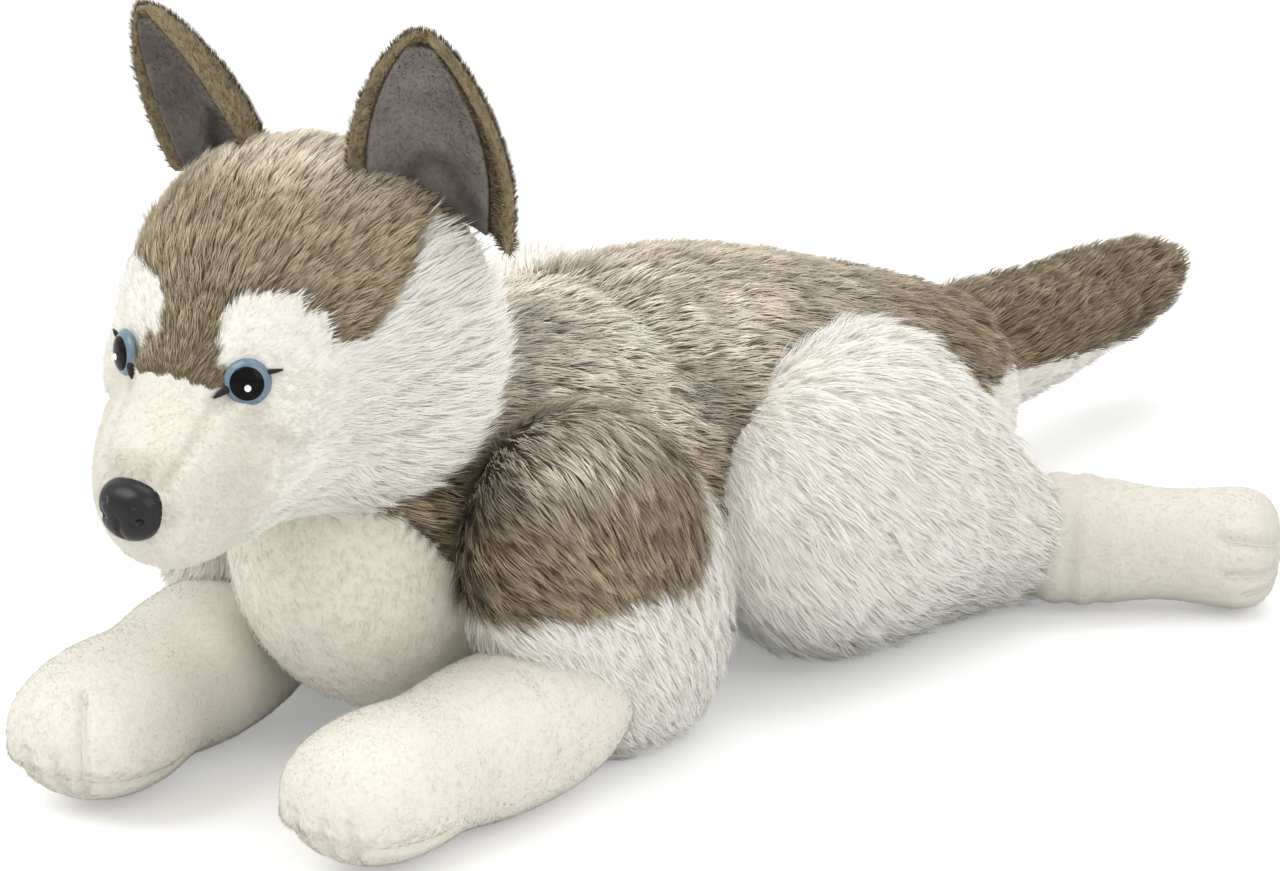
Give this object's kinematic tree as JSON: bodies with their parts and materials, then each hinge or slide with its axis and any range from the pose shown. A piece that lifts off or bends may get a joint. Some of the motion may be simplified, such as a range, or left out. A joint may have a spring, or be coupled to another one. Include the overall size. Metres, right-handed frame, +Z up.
{
  "type": "plush husky",
  "caption": "Lying plush husky sewn from long and short pile cloth over fibre filling, with plastic eyes and nose, forelegs stretched out and hind legs splayed.",
  "frame": {"origin": "on the floor, under the middle of the belly", "axes": "+Z up, the dog faces -Y, its left side is +X"},
  "size_m": [0.3472, 0.6208, 0.2842],
  "materials": {
    "grey_brown_pile": "long brushed pile, matt",
    "white_long_pile": "long brushed pile, matt",
    "white_short_pile": "short brushed pile, matt",
    "olive_brown_pile": "short brushed pile, matt",
    "grey_lining": "short velvet pile, soft sheen",
    "eye_plastic": "gloss",
    "nose_plastic": "satin",
    "washer_plastic": "matt",
    "fibre_filling": "loose fibre"
  },
  "bodies": {
    "root": {"back_panel": "grey_brown_pile", "crown_panel": "grey_brown_pile", "tail_top": "grey_brown_pile", "shoulder_panel_left": "grey_brown_pile", "shoulder_panel_right": "grey_brown_pile", "belly_panel": "white_long_pile", "tail_underside": "white_long_pile", "brow_patch_left": "white_long_pile", "brow_patch_right": "white_long_pile", "cheek_panel_left": "white_long_pile", "cheek_panel_right": "white_long_pile", "upper_foreleg_left": "white_long_pile", "upper_foreleg_right": "white_long_pile", "thigh_panel_left": "white_long_pile", "thigh_panel_right": "white_long_pile", "muzzle_panel": "white_short_pile", "forepaw_left": "white_short_pile", "forepaw_right": "white_short_pile", "hind_paw_left": "white_short_pile", "hind_paw_right": "white_short_pile", "ear_back_left": "olive_brown_pile", "ear_back_right": "olive_brown_pile", "ear_lining_left": "grey_lining", "ear_lining_right": "grey_lining", "eye_left": "eye_plastic", "eye_right": "eye_plastic", "nose": "nose_plastic", "nose_washer": "washer_plastic", "eye_washer_left": "washer_plastic", "eye_washer_right": "washer_plastic", "body_filling": "fibre_filling", "head_filling": "fibre_filling", "tail_filling": "fibre_filling", "shoulder_filling_left": "fibre_filling", "shoulder_filling_right": "fibre_filling", "foreleg_filling_left": "fibre_filling", "foreleg_filling_right": "fibre_filling", "thigh_filling_left": "fibre_filling", "thigh_filling_right": "fibre_filling", "hind_filling_left": "fibre_filling", "hind_filling_right": "fibre_filling"}
  },
  "joints": []
}
